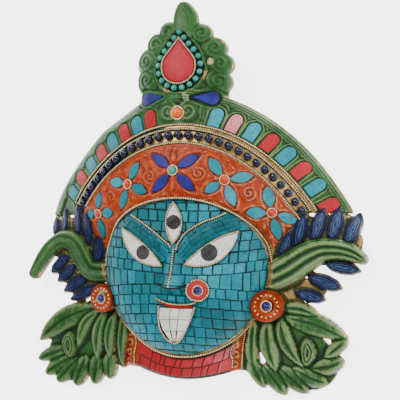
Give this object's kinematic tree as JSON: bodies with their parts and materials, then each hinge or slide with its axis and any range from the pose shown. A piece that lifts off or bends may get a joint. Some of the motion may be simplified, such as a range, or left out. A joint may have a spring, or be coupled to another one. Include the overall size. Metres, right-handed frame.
{
  "type": "wall mask",
  "caption": "Three-eyed wall mask with a leafed crown, ears and leaf sprays, cast in painted metal, inlaid with stone tiles, petals and beads, hollow behind.",
  "frame": {"origin": "on the resting plane, under the middle of the mask's length and width", "axes": "+Z out of the face, +Y from the chin to the crest, +X to the viewer's right when the face is seen from the front"},
  "size_m": [0.323, 0.352, 0.082],
  "materials": {
    "green_paint": "worn green paint over cast brass",
    "turquoise": "polished turquoise-coloured stone tiles",
    "coral": "polished coral-red stone",
    "lapis": "polished lapis-blue stone",
    "navy_glass": "glossy dark blue bead",
    "orange_glass": "glossy orange bead",
    "white_shell": "white shell or stone with fine cracks",
    "grey_slate": "dark grey stone",
    "green_glass": "glossy green-blue beads",
    "gold_wire": "bright beaded wire"
  },
  "bodies": {
    "root": {"arch_stone_left_1": "coral", "arch_stone_left_2": "turquoise", "arch_stone_left_3": "coral", "arch_stone_left_4": "turquoise", "arch_stone_left_5": "coral", "arch_stone_left_6": "turquoise", "arch_stone_left_7": "coral", "arch_stone_left_8": "turquoise", "arch_stone_right_1": "turquoise", "arch_stone_right_2": "coral", "arch_stone_right_3": "turquoise", "arch_stone_right_4": "coral", "arch_stone_right_5": "turquoise", "arch_stone_right_6": "coral", "arch_stone_right_7": "turquoise", "arch_stone_right_8": "coral", "bead_row": "navy_glass", "casting": "green_paint", "centre_bead": "orange_glass", "eye_white_brow": "white_shell", "eye_white_left": "white_shell", "eye_white_right": "white_shell", "face_mosaic": "turquoise", "flower_centre": "lapis", "flower_inner_left": "turquoise", "flower_inner_right": "turquoise", "flower_outer_left": "turquoise", "flower_outer_right": "turquoise", "lapis_drop_left": "lapis", "lapis_drop_right": "lapis", "lip": "coral", "neck_mosaic": "coral", "nose_bead": "navy_glass", "nose_disc": "coral", "pupil_brow": "grey_slate", "pupil_left": "grey_slate", "pupil_right": "grey_slate", "rosette_bead_left": "navy_glass", "rosette_bead_right": "navy_glass", "teardrop": "coral", "teardrop_beads": "green_glass", "tongue": "white_shell", "wire_crown_inner": "gold_wire", "wire_crown_outer": "gold_wire", "wire_face": "gold_wire", "wire_teardrop": "gold_wire"}
  },
  "joints": []
}
